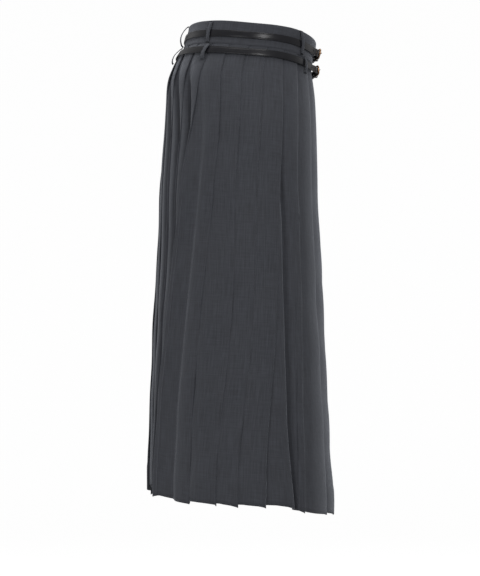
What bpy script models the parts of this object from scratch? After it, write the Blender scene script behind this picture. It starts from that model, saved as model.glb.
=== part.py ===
"""Long knife-pleated skirt with a waistband, belt loops and two narrow buckled belts.

The skirt keeps the rounded form that it has when worn. Its front faces -Y, its wearer's
right is -X and +Z is up. The origin lies inside the waist, about level with the waist seam.

Places on the skirt are given by an angle round it (0 at the centre front, 90 degrees at
the wearer's right side, 180 at the centre back), a distance below the top edge, and a
distance outwards from the skirt's base surface. Lengths are in metres.
"""

import math
from collections import namedtuple

import bpy
import numpy as np

CM = 0.01
MM = 0.001

# Cloth and pleats
CLOTH = 1.0 * MM                # thickness of the pleated wall
LAYER = 1.65 * MM               # from one pressed layer of cloth to the next
SEAM_GAP = 0.42 * MM            # between two panels' cut edges
BAND_GAP = 1.2 * MM             # under the waistband, where the wall bends outwards
PLEATS = 22
FIRST_FOLD = 1.8                # angle of the first pleat's fold at the waist, in degrees
LAP = 2.3 * CM                  # how far a pressed pleat reaches back under its fold
MOST_LAP = 0.66                 # the same, at most, as a share of the way to the next fold
PATH_POINTS = 8                 # points along the cloth in one pleat
DRESSED = 3.8 * MM              # from the base surface to the outside of the pressed pleats

# Heights, measured down the wall from the top edge
BAND_HEIGHT = 3.6 * CM
SIDE_LENGTH = 74.4 * CM
PLEATED_LENGTH = SIDE_LENGTH - BAND_HEIGHT
UPPER_BELT_AT = 2.0 * CM
LOWER_BELT_AT = 4.65 * CM
HIP, KNEE, HEM = 0.24, 0.61, 1.0  # levels named in the table of folds, as shares of the pleated length
ROWS_CM = (0, 1.5, 3.5, 6.5, 10.5, 16, 23, 31, 41, 51, 61)  # rings of the pleated wall, and the hem

# Waistband
BAND_WALL = 2.4 * MM
BAND_OUT = 1.9 * MM             # middle of the band's wall
BAND_SIDES = 60                 # flat facets round the band and the belts

# Belt straps, and where they rest outside the band and the pleats
STRAP_WIDTH = 10.4 * MM
STRAP = 1.7 * MM                # thickness of the leather
STRAP_HOLE = 1.5 * MM           # half the height of the holes that the prong goes through
UPPER_REST = 4.7 * MM
LOWER_REST = 5.7 * MM
FREE_END = 86.0 * MM            # where the free end stops, left of the buckle's place

# Buckles and keepers
BUCKLE_PLACE = 42.0 * MM        # how far right of the centre front the buckles sit
BAR = 1.2 * MM                  # radius of the buckle's bar
PRONG = 0.85 * MM               # radius of the prong
HEEL_AT = 8.0 * MM              # the bar that the strap folds round, left of that place
EYE = 2.5 * MM                  # radius of the prong's eye round that bar
FOLD = 2.65 * MM                # the same for the strap's fold
BUCKLE_WIDE = 15.5 * MM         # from that bar to the middle of the free side
BUCKLE_TALL = 14.2 * MM         # between the middles of the level bars
BUCKLE_TILT = math.radians(24)  # how far the free side stands away from the belt
BUCKLE_STRAIGHT = 6.0 * MM      # length of the level bars before the free side's curve
ROUNDING = 0.7                  # 1 makes the free side an ellipse, and less makes it squarer
HEEL_CORNER = 0.8 * MM
PRONG_OVER = 1.6 * MM           # how far the prong reaches past the free side
KEEPER_FROM, KEEPER_TO = 19.5 * MM, 25.0 * MM
KEEPER_WALL = 1.1 * MM
KEEPER_CORNER = 0.5 * MM
KEEPER_GAP = 0.5 * MM

# Belt loops
LOOP_WIDTH = 7.0 * MM
LOOP_WALL = 1.2 * MM
LOOP_DROP = 2.7 * CM            # how far the lower loops reach below the waist seam
LOOP_INSET = 1.0 * MM           # from the band's edges to the ends of the loops
LOOP_POINTS = 9
LOOP_GAP = 0.5 * MM             # under a loop's ends, where the wall behind them slopes

# Outline of the skirt seen from the side and the front, at distances below the top edge
Section = namedtuple("Section", "below front back side")
BODY_CM = (
    Section(0.0, 10.3, 10.2, 13.5),
    Section(1.8, 10.0, 10.6, 13.6),
    Section(3.6, 9.6, 11.1, 13.9),
    Section(5.0, 9.6, 11.9, 14.3),
    Section(6.5, 9.8, 12.7, 14.9),
    Section(9.0, 10.1, 13.6, 15.7),
    Section(13.0, 10.3, 13.9, 16.8),
    Section(18.0, 10.4, 14.2, 17.6),
    Section(25.0, 10.5, 14.7, 18.1),
    Section(35.0, 10.9, 15.0, 18.6),
    Section(47.0, 11.4, 15.6, 19.2),
    Section(60.0, 12.0, 16.1, 19.9),
    Section(74.4, 12.5, 16.3, 20.5),
)

# Heights of the two edges round the skirt, the same on the right and the left
Edge = namedtuple("Edge", "angle top hem")
EDGES_CM = (
    Edge(0, 1.7, -73.1),
    Edge(35, 2.2, -72.8),
    Edge(58, 2.7, -72.4),
    Edge(76, 2.95, -71.4),
    Edge(100, 3.25, -71.2),
    Edge(130, 4.0, -70.85),
    Edge(145, 4.3, -70.6),
    Edge(158, 4.5, -69.9),
    Edge(180, 4.6, -68.4),
)

# One row a pleat, from the centre front round by the right, the back and the left. hip, knee
# and hem are how many degrees the fold has moved round by those levels. The rest is its form at
# the hem, in cm and in shares of the way to the next fold: the fold stands out by stand, its
# face rises by rise as far as shoulder, sinks by drop at dip, and ends under the next fold at
# valley, depth below that fold's layers. opens is the share of the pleated length above which it
# lies pressed. Above 1, slow makes its creases move apart later than its height grows.
Fold = namedtuple("Fold", "hip knee hem stand shoulder rise dip drop valley depth opens slow")
FOLDS = (
    Fold(0, 1, 1, 0.2, 0.50, 0.15, 0.92, 0.4, 1.24, 0.7, 0.20, 1.0),
    Fold(1, 0, -1, 0.2, 0.50, 0.15, 0.92, 0.4, 1.22, 0.8, 0.20, 1.0),
    Fold(2, 0, -2, 0.3, 0.60, 0.2, 0.90, 0.3, 1.12, 0.3, 0.07, 1.0),
    Fold(5, 7, 7, 0.05, 0.33, 0.35, 0.41, 1.2, 1.14, 0.5, 0.08, 1.7),
    Fold(3, 9, 19, 0.2, 0.40, 0.3, 0.90, 0.05, 1.06, 0.2, 0.16, 0.5),
    Fold(4, 9, 19, 0.2, 0.40, 0.3, 0.90, 0.05, 1.06, 0.2, 0.16, 0.5),
    Fold(3, 6, 16, 0.2, 0.40, 0.3, 0.90, 0.05, 1.06, 0.2, 0.14, 0.5),
    Fold(1, 11, 17, 0.1, 0.45, 0.2, 0.80, -0.2, 0.95, 0.6, 0.06, 0.4),
    Fold(7, 17.5, 25, 1.5, 0.16, 0.8, 0.42, 0.7, 1.0, 0.4, 0.06, 0.3),
    Fold(2, 5, 15, 0.3, 0.16, -0.05, 0.45, 0.6, 0.97, 0.2, 0.06, 0.3),
    Fold(-3, -3, 4, 0.3, 0.16, 0.0, 0.48, 0.5, 1.03, 0.4, 0.06, 0.4),
    Fold(-2, -2, -1, 0.1, 0.35, 0.05, 0.74, 0.2, 1.12, 0.5, 0.10, 1.0),
    Fold(-1, -1, -3, 0.5, 0.40, 0.35, 0.78, 0.7, 1.10, 1.3, 0.10, 1.0),
    Fold(-5, -8, -9, 0.4, 0.40, 0.3, 0.80, 0.6, 1.14, 1.3, 0.11, 1.0),
    Fold(-7, -14, -19, 0.5, 0.45, 0.35, 0.82, 0.6, 1.16, 0.9, 0.12, 1.0),
    Fold(-2, -10, -15, 0.2, 0.50, 0.15, 0.90, 0.4, 1.22, 0.8, 0.16, 1.0),
    Fold(-4, -8, -16, 0.3, 0.45, 0.2, 0.88, 0.4, 1.22, 0.8, 0.16, 1.0),
    Fold(-4, -9, -18, 0.2, 0.50, 0.15, 0.90, 0.3, 1.16, 0.8, 0.11, 1.0),
    Fold(-4, -9, -17, 0.4, 0.38, 0.3, 0.66, 0.9, 1.18, 1.0, 0.12, 1.0),
    Fold(-4, -8, -9, 0.2, 0.50, 0.15, 0.90, 0.4, 1.22, 0.8, 0.18, 1.0),
    Fold(-2, 0, -1, 0.3, 0.50, 0.2, 0.92, 0.4, 1.24, 0.7, 0.20, 1.0),
    Fold(-1, 0, 0, 0.2, 0.50, 0.15, 0.92, 0.4, 1.24, 0.7, 0.20, 1.0),
)

# The four panels of cloth, in order round the skirt. Each starts in the layer hidden under the
# pleat after its first one's number, and runs to the start of the next panel.
Panel = namedtuple("Panel", "name starts")
PANELS = (
    Panel("right_panel", 3),
    Panel("back_panel", 8),
    Panel("left_panel", 14),
    Panel("front_panel", 19),
)

# Each step of a belt strap near the buckle: its distance left of the buckle's place, and its
# height off the strap's resting surface. The turned-back end and the fold come first, then the
# strap leaves for its way round the waist. It comes back from the right as the free end.
Step = namedtuple("Step", "left out")
TURNED_BACK_MM = (Step(16, 0.0), Step(12, 0.0))
LEAVING_MM = (Step(12, 4.4), Step(15.5, 3.1), Step(19, 2.15), Step(26, 2.15), Step(36, 0.0))
COMING_MM = (
    Step(-32, 0.0),
    Step(-25, 0.4),
    Step(-18.5, 1.7),
    Step(-12.5, 3.8),
    Step(-7, 4.6),
    Step(-3, 5.0),
)
CROSSING_MM = (Step(1, 5.8), Step(5, 6.9), Step(9.5, 7.3))
LYING_MM = (Step(12.5, 6.6), Step(15.5, 5.4), Step(19, 4.2), Step(26, 4.2), Step(36, 2.1))
FREE_TURNS_MM = (48, 60, 71, 79, 84)

# One row a place that carries an upper and a lower belt loop. The upper loop runs from the
# angle top to the angle seam, and the lower one hangs at the angle low. upper and lower say
# how far the loops stand out at their middle, in mm from the base surface.
Carrier = namedtuple("Carrier", "name top seam low upper lower")
CARRIERS = (
    Carrier("front_right", 53, 46.5, 42, 7.4, 9.4),
    Carrier("back_right", 138, 137, 134, 7.6, 9.9),
    Carrier("back", 180, 180, 180, 12.6, 10.9),
    Carrier("back_left", 222, 223, 226, 7.6, 9.9),
    Carrier("front_left", 309, 315, 319, 7.4, 9.4),
)

CLOTH_COLOUR = (0.048, 0.051, 0.061, 1.0)
LEATHER_COLOUR = (0.012, 0.012, 0.014, 1.0)
BRASS_COLOUR = (0.32, 0.21, 0.12, 1.0)


def smooth(places, values, at):
    """A smooth curve through the values, level at both ends of its places."""
    places = np.asarray(places, float)
    values = np.asarray(values, float)
    slopes = np.zeros_like(values)
    slopes[1:-1] = (values[2:] - values[:-2]) / (places[2:] - places[:-2])
    at = np.clip(at, places[0], places[-1])
    left = np.clip(np.searchsorted(places, at, side="right") - 1, 0, len(places) - 2)
    width = places[left + 1] - places[left]
    t = (at - places[left]) / width
    start = values[left] + (values[left + 1] - values[left]) * t * t * (3 - 2 * t)
    return start + width * t * (1 - t) * (slopes[left] * (1 - t) - slopes[left + 1] * t)


def column(table, name):
    return [getattr(row, name) for row in table]


def outline(below):
    """Half depth, middle along Y and half width of the base surface at a distance below the top."""
    places = np.array(column(BODY_CM, "below")) * CM
    front, back, side = (
        float(smooth(places, np.array(column(BODY_CM, name)) * CM, below)) - DRESSED
        for name in ("front", "back", "side")
    )
    return (front + back) / 2, (back - front) / 2, side


def edge_height(angle, name):
    """Height of the top edge or the hem at an angle in radians."""
    from_front = np.degrees(np.abs((np.asarray(angle) + math.pi) % (2 * math.pi) - math.pi))
    return smooth(column(EDGES_CM, "angle"), np.array(column(EDGES_CM, name)) * CM, from_front)


def place(angle, below, out):
    """The point at an angle in radians, below the top edge and out from the base surface."""
    depth, middle, side = outline(below)
    sine, cosine = np.sin(angle), np.cos(angle)
    across = np.hypot(depth * sine, side * cosine)
    top = edge_height(angle, "top")
    stretch = (top - edge_height(angle, "hem")) / SIDE_LENGTH
    return np.stack(
        [
            -side * sine - out * depth * sine / across,
            middle - depth * cosine - out * side * cosine / across,
            top - below * stretch,
        ],
        axis=-1,
    )


class Ring:
    """Turns angles at one level into distances round the base surface, and back."""

    def __init__(self, below):
        depth, _, side = outline(below)
        self.angles = np.linspace(-math.pi, 5 * math.pi, 2161)
        speed = np.hypot(side * np.cos(self.angles), depth * np.sin(self.angles))
        steps = (speed[1:] + speed[:-1]) / 2 * np.diff(self.angles)
        self.along = np.concatenate([[0.0], np.cumsum(steps)])
        self.along -= np.interp(0.0, self.angles, self.along)

    def distance(self, angle):
        return np.interp(angle, self.angles, self.along)

    def angle(self, distance):
        return np.interp(distance, self.along, self.angles)


def ease(t):
    t = min(max(t, 0.0), 1.0)
    return t * t * (3 - 2 * t)


def fold_angle(index, share):
    """Angle in radians of a pleat's fold at a share of the way down the pleated length."""
    row = FOLDS[index % PLEATS]
    moved = smooth((0.0, HIP, KNEE, HEM), (0.0, row.hip, row.knee, row.hem), share)
    return math.radians(FIRST_FOLD + 360 / PLEATS * index + float(moved))


def opened(row, share):
    """How far a pleat has opened, from 0 where it is pressed to 1 at the hem."""
    t = (share - row.opens) / (1 - row.opens)
    return 0.0 if t <= 0 else ease(t * 3) * (0.55 + 0.45 * t)


def blend(pressed, loose, amount):
    return pressed * (1 - amount) + loose * amount


def fold_height(index, share):
    """How far out the middle of a pleat's fold stands."""
    row = FOLDS[index % PLEATS]
    return 1.5 * LAYER + row.stand * CM * opened(row, share)


def turn(before, centre, after):
    """Three points round a fold in the cloth, half a layer from its centre."""
    first = (before - centre) / np.linalg.norm(before - centre)
    second = (after - centre) / np.linalg.norm(after - centre)
    inward = first + second
    inward = inward / np.linalg.norm(inward)
    across = np.array([-inward[1], inward[0]])
    if across @ (first - second) < 0:
        across = -across
    half = LAYER / 2
    return [centre + across * half, centre - inward * half, centre - across * half]


def fold_distance(index, share, ring):
    return ring.distance(fold_angle(index, share))


def lap_of(index, share, ring):
    """How far the pressed layers under a fold reach back from it."""
    span = fold_distance(index + 1, share, ring) - fold_distance(index, share, ring)
    return min(LAP, MOST_LAP * span)


def pleat_marks(index, share, ring):
    """Fold, shoulder, dip and valley of a pleat, each as distance round and distance out."""
    row = FOLDS[index % PLEATS]
    amount = opened(row, share)
    moved = amount**row.slow
    fold = fold_distance(index, share, ring)
    following = fold_distance(index + 1, share, ring)
    span = following - fold
    laps = lap_of(index, share, ring), lap_of(index + 1, share, ring)
    top = fold_height(index, share)
    shoulder = (
        fold + blend(laps[0] + LAYER, span * row.shoulder, moved),
        2 * LAYER + row.rise * CM * amount,
    )
    dip = (
        fold + span * blend(1.0, row.dip, moved),
        blend(0.0, 2 * LAYER - row.drop * CM, amount),
    )
    valley = (
        fold + blend(span + laps[1], span * row.valley, moved),
        fold_height(index + 1, share) - LAYER - row.depth * CM * amount,
    )
    return np.array([(fold, top), shoulder, dip, valley])


def wall_path(share, ring):
    """The cloth's middle line at one level: the points of each pleat in turn."""
    marks = [pleat_marks(index, share, ring) for index in range(PLEATS + 1)]
    path = []
    for index in range(PLEATS):
        _, shoulder, dip, valley = marks[index]
        following, next_shoulder = marks[index + 1][:2]
        path += [shoulder, dip]
        path += turn(dip, valley, following)
        path += turn(valley, following, next_shoulder)
    return np.array(path)


def wall_levels():
    """Each ring of the wall: its share of the pleated length, and its distance below the top."""
    levels = []
    for row in ROWS_CM + (PLEATED_LENGTH / CM,):
        below = BAND_HEIGHT + row * CM
        levels.append((row * CM / PLEATED_LENGTH, below + (BAND_GAP / 2 if row == 0 else 0.0)))
    return levels


def seam_points(points, pleat):
    """Index of a pleat's dip, and two points a gap apart halfway from there to its valley."""
    dip = pleat * PATH_POINTS + 1
    run = points[dip + 1] - points[dip]
    middle = (points[dip + 1] + points[dip]) / 2
    step = run / np.linalg.norm(run) * SEAM_GAP / 2
    return dip, middle - step, middle + step


def panel_grids():
    """Points of each panel by its name, as rows of points from the waist to the hem."""
    rows = {panel.name: [] for panel in PANELS}
    for share, below in wall_levels():
        ring = Ring(below)
        path = wall_path(share, ring)
        points = place(ring.angle(path[:, 0]), below, path[:, 1])
        seams = [seam_points(points, panel.starts) for panel in PANELS]
        for panel, (first, _, start), (last, end, _) in zip(PANELS, seams, seams[1:] + seams[:1]):
            between = np.arange(first + 1, last + 1 + (len(points) if last < first else 0))
            rows[panel.name].append(np.vstack([start, points[between % len(points)], end]))
    return {name: np.array(grid) for name, grid in rows.items()}


def material(name, colour, roughness, metallic=0.0):
    made = bpy.data.materials.new(name)
    made.use_nodes = True
    shader = made.node_tree.nodes["Principled BSDF"]
    shader.inputs["Base Color"].default_value = colour
    shader.inputs["Roughness"].default_value = roughness
    shader.inputs["Metallic"].default_value = metallic
    return made


def sheet(name, grid, thickness, finish, closed=False, holes=()):
    """A piece of cloth or leather: a grid of points, left to right, given its thickness."""
    rows, columns = grid.shape[:2]
    faces = []
    for row in range(rows - 1):
        for number in range(columns if closed else columns - 1):
            if (row, number) in holes:
                continue
            right = (number + 1) % columns
            faces.append(
                (
                    row * columns + number,
                    (row + 1) * columns + number,
                    (row + 1) * columns + right,
                    row * columns + right,
                )
            )
    mesh = bpy.data.meshes.new(name)
    mesh.from_pydata([tuple(point) for point in grid.reshape(-1, 3)], [], faces)
    mesh.materials.append(finish)
    piece = bpy.data.objects.new(name, mesh)
    skirt.objects.link(piece)
    wall = piece.modifiers.new("thickness", "SOLIDIFY")
    wall.thickness = thickness
    wall.offset = 0.0
    wall.use_even_offset = True
    return piece


def band_grid():
    angles = np.arange(BAND_SIDES) * 2 * math.pi / BAND_SIDES
    levels = (0.0, BAND_HEIGHT / 2, BAND_HEIGHT - BAND_GAP / 2)
    return np.array([place(angles, below, BAND_OUT) for below in levels])


def buckle_angle(ring, left):
    """The angle at a distance left of the buckle's place."""
    return ring.angle(BUCKLE_PLACE - left)


def front_point(left, below, out):
    """The point at a distance left of the buckle's place, below the top edge and out."""
    return place(buckle_angle(Ring(below), left), below, out)


def strap_path(below, rest):
    """A strap's angle and distance out at each of its steps, and the steps that the prong pierces."""
    ring = Ring(below)
    heel = [
        Step(HEEL_AT - FOLD * math.sin(turned), FOLD * (1 - math.cos(turned)))
        for turned in np.linspace(0, math.pi, 6)
    ]
    spans = [
        [Step(step.left * MM, step.out * MM) for step in steps]
        for steps in (TURNED_BACK_MM, LEAVING_MM, COMING_MM, CROSSING_MM, LYING_MM)
    ]
    back, leaving, coming, crossing, lying = spans
    turns = [Step(left * MM, lying[-1].out) for left in FREE_TURNS_MM]
    turns.append(Step(FREE_END, lying[-1].out))
    away = [(buckle_angle(ring, step.left), step.out) for step in back + heel + leaving]
    home = [(buckle_angle(ring, step.left), step.out) for step in coming + crossing + lying + turns]
    facet = 2 * math.pi / BAND_SIDES
    first = math.floor(away[-1][0] / facet)
    last = math.ceil(home[0][0] / facet) - BAND_SIDES
    round_waist = [(number * facet, 0.0) for number in range(first, last - 1, -1)]
    home = [(angle - 2 * math.pi, out) for angle, out in home]
    path = np.array(away + round_waist + home) + [0.0, rest]
    fold = range(len(back) - 1, len(back) + len(heel))
    hole_from = len(away) + len(round_waist) + len(coming)
    hole = range(hole_from, hole_from + len(crossing) - 1)
    return path, list(fold) + list(hole)


def strap_grid(below, rest):
    """Rows of points across the strap, each running its whole length, and the faces to leave out."""
    path, pierced = strap_path(below, rest)
    narrowing = np.ones(len(path))
    narrowing[-2:] = (0.86, 0.42)
    half = STRAP_WIDTH / 2
    rows = [
        [place(angle, below + across * narrow, out) for (angle, out), narrow in zip(path, narrowing)]
        for across in (-half, -STRAP_HOLE, STRAP_HOLE, half)
    ]
    return np.array(rows), {(1, number) for number in pierced}


def buckle_point(below, rest, along, up):
    """A point of the buckle's tilted plane, along it from the heel bar and up from its middle."""
    left = HEEL_AT - along * math.cos(BUCKLE_TILT)
    out = rest + FOLD + along * math.sin(BUCKLE_TILT)
    return front_point(left, below - up, out)


def buckle_outline():
    """The middle line of the D-shaped frame: along from the heel bar, and up."""
    half = BUCKLE_TALL / 2
    free = [
        (
            BUCKLE_STRAIGHT + (BUCKLE_WIDE - BUCKLE_STRAIGHT) * math.cos(turned) ** ROUNDING,
            half * math.copysign(abs(math.sin(turned)) ** ROUNDING, turned),
        )
        for turned in np.radians(np.linspace(-84, 84, 11))
    ]
    heel = [(HEEL_CORNER, half), (0.0, half - HEEL_CORNER)]
    heel += [(0.0, HEEL_CORNER - half), (HEEL_CORNER, -half)]
    return free + heel


def prong_outline():
    """The prong's middle line: along from the heel bar, and away from the buckle's plane."""
    eye = [
        (-EYE * math.sin(turned), EYE * math.cos(turned))
        for turned in np.radians(np.linspace(220, 0, 10))
    ]
    return eye + [(BUCKLE_WIDE * 0.5, EYE), (BUCKLE_WIDE + PRONG_OVER, EYE)]


def prong_point(below, rest, along, away):
    left = HEEL_AT - along * math.cos(BUCKLE_TILT) + away * math.sin(BUCKLE_TILT)
    out = rest + FOLD + along * math.sin(BUCKLE_TILT) + away * math.cos(BUCKLE_TILT)
    return front_point(left, below, out)


def keeper_grid(below, rest):
    """The keeper's closed band round both layers of strap, as two rows of points."""
    lying, leaving = LYING_MM[2].out * MM, LEAVING_MM[2].out * MM
    clear = STRAP / 2 + KEEPER_GAP + KEEPER_WALL / 2
    low, high = leaving - clear, lying + clear
    half = STRAP_WIDTH / 2 + KEEPER_GAP + KEEPER_WALL / 2
    corner = KEEPER_CORNER
    outline = [
        (low, corner - half),
        (low, half - corner),
        (low + corner, half),
        (high - corner, half),
        (high, half - corner),
        (high, corner - half),
        (high - corner, -half),
        (low + corner, -half),
    ]
    return np.array(
        [
            [front_point(left, below + across, rest + out) for out, across in outline]
            for left in (KEEPER_TO, KEEPER_FROM)
        ]
    )


def loop_grid(angles, levels, ends_out, middle_out):
    """A belt loop between two angles and two levels, standing out at its middle over the belt."""
    rows = []
    for t in np.linspace(0, 1, LOOP_POINTS):
        below = levels[0] + (levels[1] - levels[0]) * t
        out = ends_out + (middle_out - ends_out) * math.sin(math.pi * t) ** 0.6
        ring = Ring(below)
        centre = ring.distance(math.radians(angles[0] + (angles[1] - angles[0]) * t))
        sides = (LOOP_WIDTH / 2, -LOOP_WIDTH / 2)
        rows.append([place(ring.angle(centre + side), below, out) for side in sides])
    return np.array(rows)


def wire(name, points, radius, resolution, finish, closed=False):
    """A round bar of metal along a line of points."""
    curve = bpy.data.curves.new(name, "CURVE")
    curve.dimensions = "3D"
    curve.bevel_depth = radius
    curve.bevel_resolution = resolution
    curve.use_fill_caps = not closed
    line = curve.splines.new("POLY")
    line.points.add(len(points) - 1)
    line.use_cyclic_u = closed
    for point, position in zip(line.points, points):
        point.co = (*position, 1.0)
    curve.materials.append(finish)
    piece = bpy.data.objects.new(name, curve)
    skirt.objects.link(piece)
    return piece


def build_belt(which, below, rest):
    grid, pierced = strap_grid(below, rest)
    sheet(f"belt_{which}", grid, STRAP, leather, holes=pierced)
    sheet(f"keeper_{which}", keeper_grid(below, rest), KEEPER_WALL, leather, closed=True)
    frame = [buckle_point(below, rest, along, up) for along, up in buckle_outline()]
    wire(f"buckle_{which}", frame, BAR, 2, brass, closed=True)
    prong = [prong_point(below, rest, along, away) for along, away in prong_outline()]
    wire(f"prong_{which}", prong, PRONG, 1, brass)


def build_loops():
    upper_ends = BAND_OUT + BAND_WALL / 2 + LOOP_GAP + LOOP_WALL / 2
    lower_ends = DRESSED + LOOP_GAP + LOOP_WALL / 2
    upper_levels = (LOOP_INSET, BAND_HEIGHT - LOOP_INSET)
    lower_levels = (BAND_HEIGHT + LOOP_INSET, BAND_HEIGHT + LOOP_DROP)
    for row in CARRIERS:
        upper = loop_grid((row.top, row.seam), upper_levels, upper_ends, row.upper * MM)
        sheet(f"loop_upper_{row.name}", upper, LOOP_WALL, wool)
        lower = loop_grid((row.low, row.low), lower_levels, lower_ends, row.lower * MM)
        sheet(f"loop_lower_{row.name}", lower, LOOP_WALL, wool)


def clear_scene():
    for old in list(bpy.data.objects):
        bpy.data.objects.remove(old, do_unlink=True)


clear_scene()
skirt = bpy.data.collections.new("pleated_skirt")
bpy.context.scene.collection.children.link(skirt)

wool = material("wool", CLOTH_COLOUR, 0.9)
leather = material("leather", LEATHER_COLOUR, 0.3)
brass = material("aged_brass", BRASS_COLOUR, 0.35, 1.0)

for panel_name, panel_grid in panel_grids().items():
    sheet(panel_name, panel_grid, CLOTH, wool)
sheet("waistband", band_grid(), BAND_WALL, wool, closed=True)
build_belt("upper", UPPER_BELT_AT, UPPER_REST)
build_belt("lower", LOWER_BELT_AT, LOWER_REST)
build_loops()
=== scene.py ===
import math
from collections import namedtuple

import bpy
import numpy as np
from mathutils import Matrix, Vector


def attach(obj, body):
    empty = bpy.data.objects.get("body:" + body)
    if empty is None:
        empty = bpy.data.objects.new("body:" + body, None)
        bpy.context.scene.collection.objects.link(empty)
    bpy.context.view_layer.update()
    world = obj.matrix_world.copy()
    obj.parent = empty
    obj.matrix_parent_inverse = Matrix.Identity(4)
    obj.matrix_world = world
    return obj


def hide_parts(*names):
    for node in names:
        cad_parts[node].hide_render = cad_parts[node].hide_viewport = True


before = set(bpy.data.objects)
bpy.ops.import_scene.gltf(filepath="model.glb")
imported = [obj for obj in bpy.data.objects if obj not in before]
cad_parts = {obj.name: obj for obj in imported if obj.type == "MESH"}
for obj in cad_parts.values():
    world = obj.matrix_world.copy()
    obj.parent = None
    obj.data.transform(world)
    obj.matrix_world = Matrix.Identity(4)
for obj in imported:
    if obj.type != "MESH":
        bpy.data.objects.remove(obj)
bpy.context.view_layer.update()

# Long knife-pleated wool skirt: its cloth, belts, loops and buckles, in the form of the packed
# solids. Places are given by an angle round the skirt (0 at the centre front, 90 degrees at the
# wearer's right side, 180 at the centre back), a distance below the top edge, and a distance
# outwards from the skirt's base surface. Lengths are in metres.

CM = 0.01
MM = 0.001


def table(names, *rows):
    row_kind = namedtuple("Row", names)
    return tuple(row_kind(*row) for row in rows)


# Cloth and pleats: the sizes of the solids
LAYER_TOP, LAYER_HEM = 1.0 * MM, 1.5 * MM
THICKENS_FROM, THICKENS_OVER = 0.86, 0.08  # shares of the pleated length
EARLY = 0.55  # the share of a pleat's opening that comes in its first third, the rest evenly
PLEATS = 22
FIRST_FOLD = 1.8
LAP = 2.3 * CM  # width of the layers hidden under a fold
MOST_LAP = 0.66  # its limit, as a share of the way to the next fold
DRESSED = 3.8 * MM  # from the base surface out to the skirt's outline
BAND_HEIGHT = 3.6 * CM
SIDE_LENGTH = 74.4 * CM
PLEATED_LENGTH = SIDE_LENGTH - BAND_HEIGHT
HIP, KNEE, HEM = 0.24, 0.61, 1.0
BAND_WALL = 2.4 * MM
BAND_OUT = 1.9 * MM
BAND_COLUMNS = 300
BAND_LEVELS = 12  # rows of points down each side of the band
BAND_CORNER = 1.0 * MM  # height of the rounding at its top edge
BAND_BULGE = 0.5 * MM  # how far its lower edge is rounded down
BAND_UNEVEN = 0.08 * MM
INSIDE_CLOTH = 0.1  # from the band's outside to its inside across the cloth's pattern

# Belts, buckles, keepers and loops: the sizes of the solids
UPPER_BELT_AT = 2.0 * CM
LOWER_BELT_AT = 4.65 * CM
STRAP_WIDTH = 10.4 * MM
STRAP = 1.7 * MM
UPPER_REST = 4.7 * MM
LOWER_REST = 5.7 * MM
FREE_END = 86.0 * MM
BUCKLE_PLACE = 42.0 * MM
HEEL_AT = 8.0 * MM
EYE = 2.5 * MM
FOLD = 2.65 * MM
BUCKLE_WIDE = 15.5 * MM
BUCKLE_TALL = 14.2 * MM
BUCKLE_TILT = math.radians(24)
BUCKLE_STRAIGHT = 6.0 * MM
ROUNDING = 0.7
HEEL_CORNER = 0.8 * MM
PRONG_OVER = 1.6 * MM
KEEPER_FROM, KEEPER_TO = 19.5 * MM, 25.0 * MM
LOOP_WIDTH = 7.0 * MM
LOOP_WALL = 1.2 * MM
LOOP_DROP = 2.7 * CM
LOOP_INSET = 1.0 * MM
LOOP_GAP = 0.5 * MM

# Finer form of the dressed belts, buckles and loops
STRAP_CORNER, STRAP_CROWN = 0.45 * MM, 0.05 * MM
CREASE_AT, CREASE_DEEP, CREASE_HALF = 1.35 * MM, 0.16 * MM, 0.25 * MM
STRAP_TIP = 7.0 * MM  # length of its rounded tip
STRAP_STEP, STRAP_EASE = 8 * MM, 12 * MM  # between points round the waist, and before the first
STRAP_FINE = 3.0 * MM  # between sections
BAR, BAR_SWELL = 1.0 * MM, 0.55 * MM  # radius at the heel bar, and how much more opposite it
BAR_STEPS = 5  # from one point of the buckle's outline to the next
PRONG, PRONG_TAPER, PRONG_TIP = 0.85 * MM, 0.3 * MM, 0.25 * MM  # radius, its loss, and at the tip
PRONG_STEP = 0.5 * MM
KEEPER_ROOM, KEEPER_SIDE = 1.9 * MM, 1.05 * MM  # from the straps to its middle: out and across
KEEPER_CORNER, KEEPER_HALF = 0.9 * MM, 0.5 * MM
LOOP_SECTIONS = 25
LOOP_ROUND, LOOP_FACE, LOOP_BACK = 0.2 * MM, 0.7 * MM, 0.3 * MM  # in from its edges
LOOP_RISE = 0.6  # the smaller, the steeper a loop rises from its ends
THREAD = 0.17 * MM
TACK_TURNS = 22
TACK_FROM, TACK_WIDTH = -0.08, 1.16  # shares of the way across a loop
STITCH_LINES = (0.06, 0.94)
TACK_AT, STITCH_STEP, STITCH = 0.15, 1.9, (0, 0.6, 1.2)  # in sections of a loop

# Outline of the skirt seen from the side and the front, at distances below the top edge
BODY_CM = table(
    "below front back side",
    (0, 10.3, 10.2, 13.5),
    (1.8, 10, 10.6, 13.6),
    (3.6, 9.6, 11.1, 13.9),
    (5, 9.6, 11.9, 14.3),
    (6.5, 9.8, 12.7, 14.9),
    (9, 10.1, 13.6, 15.7),
    (13, 10.3, 13.9, 16.8),
    (18, 10.4, 14.2, 17.6),
    (25, 10.5, 14.7, 18.1),
    (35, 10.9, 15, 18.6),
    (47, 11.4, 15.6, 19.2),
    (60, 12, 16.1, 19.9),
    (74.4, 12.5, 16.3, 20.5),
)

# Heights of the two edges round the skirt, the same on the right and the left
EDGES_CM = table(
    "angle top hem",
    (0, 1.7, -73.1),
    (35, 2.2, -72.8),
    (58, 2.7, -72.4),
    (76, 2.95, -71.4),
    (100, 3.25, -71.2),
    (130, 4.0, -70.85),
    (145, 4.3, -70.6),
    (158, 4.5, -69.9),
    (180, 4.6, -68.4),
)

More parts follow.
